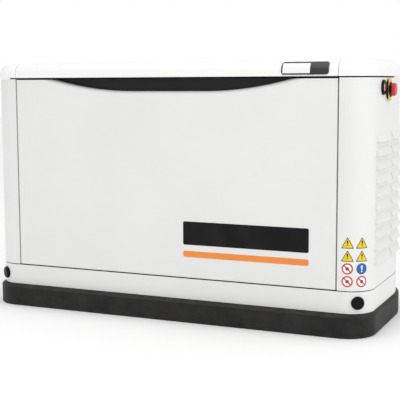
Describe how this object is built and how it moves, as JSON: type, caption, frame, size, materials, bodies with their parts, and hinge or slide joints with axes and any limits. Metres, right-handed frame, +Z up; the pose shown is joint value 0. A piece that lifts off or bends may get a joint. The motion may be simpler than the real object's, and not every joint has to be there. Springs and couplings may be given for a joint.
{
  "type": "home standby generator",
  "caption": "Boxy standby generator cabinet with louvered ends, hinged lid and lift-off front on a dark pad, for backup mains power.",
  "frame": {"origin": "centre of the underside of the mounting pad, where the unit rests on the ground", "axes": "+X along the cabinet towards the end with the emergency stop, -Y out of the front panel, +Z up"},
  "size_m": [1.236, 0.638, 0.756],
  "materials": {
    "cabinet_paint": "satin powder coat, off-white",
    "lid_paint": "satin powder coat, white",
    "pad_composite": "textured black moulding",
    "seal_rubber": "matt black",
    "black_plastic": "fine-textured black",
    "foam_liner": "dark grey acoustic foam",
    "zinc_steel": "zinc plated",
    "frame_paint": "semi-gloss black",
    "cast_aluminium": "as cast",
    "lock_chrome": "polished",
    "stop_red": "gloss red",
    "stop_yellow": "gloss yellow",
    "electrical_steel": "varnished laminations",
    "shaft_steel": "ground",
    "muffler_steel": "aluminised, heat tinted",
    "battery_case": "moulded",
    "filter_paint": "gloss white can",
    "hose_rubber": "matt black",
    "plug_ceramic": "glazed white",
    "button_plastic": "grey",
    "fuel_yellow": "die-cast grey",
    "badge_plastic": "white and black label"
  },
  "bodies": {
    "cabinet": {"base_pad": "pad_composite", "base_tray": "cabinet_paint", "lifting_hole_plugs": "black_plastic", "weather_seals": "seal_rubber", "right_end_panel": "cabinet_paint", "left_end_panel": "cabinet_paint", "rear_panel": "cabinet_paint", "front_rail": "frame_paint", "hinge_wall_leaves": "zinc_steel", "lock_bodies": "black_plastic", "estop_base": "black_plastic", "estop_plate": "stop_yellow", "crankcase": "cast_aluminium", "shaft_bearings": "shaft_steel", "cylinders": "cast_aluminium", "pistons": "cast_aluminium", "cylinder_heads": "cast_aluminium", "spark_plugs": "plug_ceramic", "rocker_covers": "frame_paint", "blower_housing": "frame_paint", "fuel_mixer": "cast_aluminium", "air_cleaner_box": "black_plastic", "air_cleaner_cover": "black_plastic", "oil_filter": "filter_paint", "oil_filler_cap": "stop_yellow", "starter_motor": "frame_paint", "alternator_frames": "cast_aluminium", "stator": "electrical_steel", "alternator_can": "zinc_steel", "support_frame": "zinc_steel", "rubber_mounts": "hose_rubber", "divider_wall": "zinc_steel", "muffler": "muffler_steel", "exhaust_pipes": "muffler_steel", "battery": "battery_case", "fuel_regulator": "fuel_yellow", "gas_inlet_pipe": "frame_paint", "fuel_hose": "hose_rubber", "control_box": "zinc_steel", "controller_fascia": "black_plastic", "main_breaker": "black_plastic"},
    "lid": {"lid_skin": "lid_paint", "lid_end_caps": "lid_paint", "lid_frame": "frame_paint", "lid_liner": "foam_liner", "lid_badge": "badge_plastic", "hinge_lid_leaves": "zinc_steel"},
    "front_door": {"front_panel": "cabinet_paint", "front_panel_liner": "foam_liner"},
    "right_lock": {"right_lock_cylinder": "lock_chrome"},
    "left_lock": {"left_lock_cylinder": "lock_chrome"},
    "stop_plunger": {"estop_stem": "black_plastic"},
    "stop_head": {"estop_button": "stop_red"},
    "shaft": {"crankshaft": "shaft_steel", "cooling_fan": "black_plastic", "rotor": "electrical_steel"},
    "auto_key": {"auto_button": "button_plastic"},
    "off_key": {"off_button": "button_plastic"},
    "manual_key": {"manual_button": "button_plastic"},
    "breaker_lever": {"breaker_handle": "button_plastic"}
  },
  "joints": [
    {"name": "lid_hinge", "type": "hinge", "parent": "cabinet", "child": "lid", "pos_m": [0, 0.31, 0.703], "axis": [-1, 0, 0], "range_deg": [0, 95]},
    {"name": "front_panel_slide", "type": "slide", "parent": "cabinet", "child": "front_door", "axis": [0, -1, 0], "range_m": [0, 0.3]},
    {"name": "right_lock_turn", "type": "hinge", "parent": "cabinet", "child": "right_lock", "pos_m": [0.601, -0.17, 0.677], "axis": [-1, 0, 0], "range_deg": [0, 90]},
    {"name": "left_lock_turn", "type": "hinge", "parent": "cabinet", "child": "left_lock", "pos_m": [-0.601, -0.17, 0.677], "axis": [-1, 0, 0], "range_deg": [0, 90]},
    {"name": "stop_push", "type": "slide", "parent": "cabinet", "child": "stop_plunger", "axis": [-1, 0, 0], "range_m": [0, 0.003]},
    {"name": "stop_twist", "type": "hinge", "parent": "stop_plunger", "child": "stop_head", "pos_m": [0.615, -0.113, 0.671], "axis": [1, 0, 0], "range_deg": [0, 45]},
    {"name": "shaft_spin", "type": "hinge", "parent": "cabinet", "child": "shaft", "pos_m": [0.17, 0.02, 0.3], "axis": [1, 0, 0], "continuous": true},
    {"name": "auto_press", "type": "slide", "parent": "cabinet", "child": "auto_key", "axis": [0, 1, 0], "range_m": [0, 0.002], "stiffness_N_per_m": 400},
    {"name": "off_press", "type": "slide", "parent": "cabinet", "child": "off_key", "axis": [0, 1, 0], "range_m": [0, 0.002], "stiffness_N_per_m": 400},
    {"name": "manual_press", "type": "slide", "parent": "cabinet", "child": "manual_key", "axis": [0, 1, 0], "range_m": [0, 0.002], "stiffness_N_per_m": 400},
    {"name": "breaker_switch", "type": "hinge", "parent": "cabinet", "child": "breaker_lever", "pos_m": [-0.295, -0.22, 0.525], "axis": [1, 0, 0], "range_deg": [0, 50]}
  ]
}
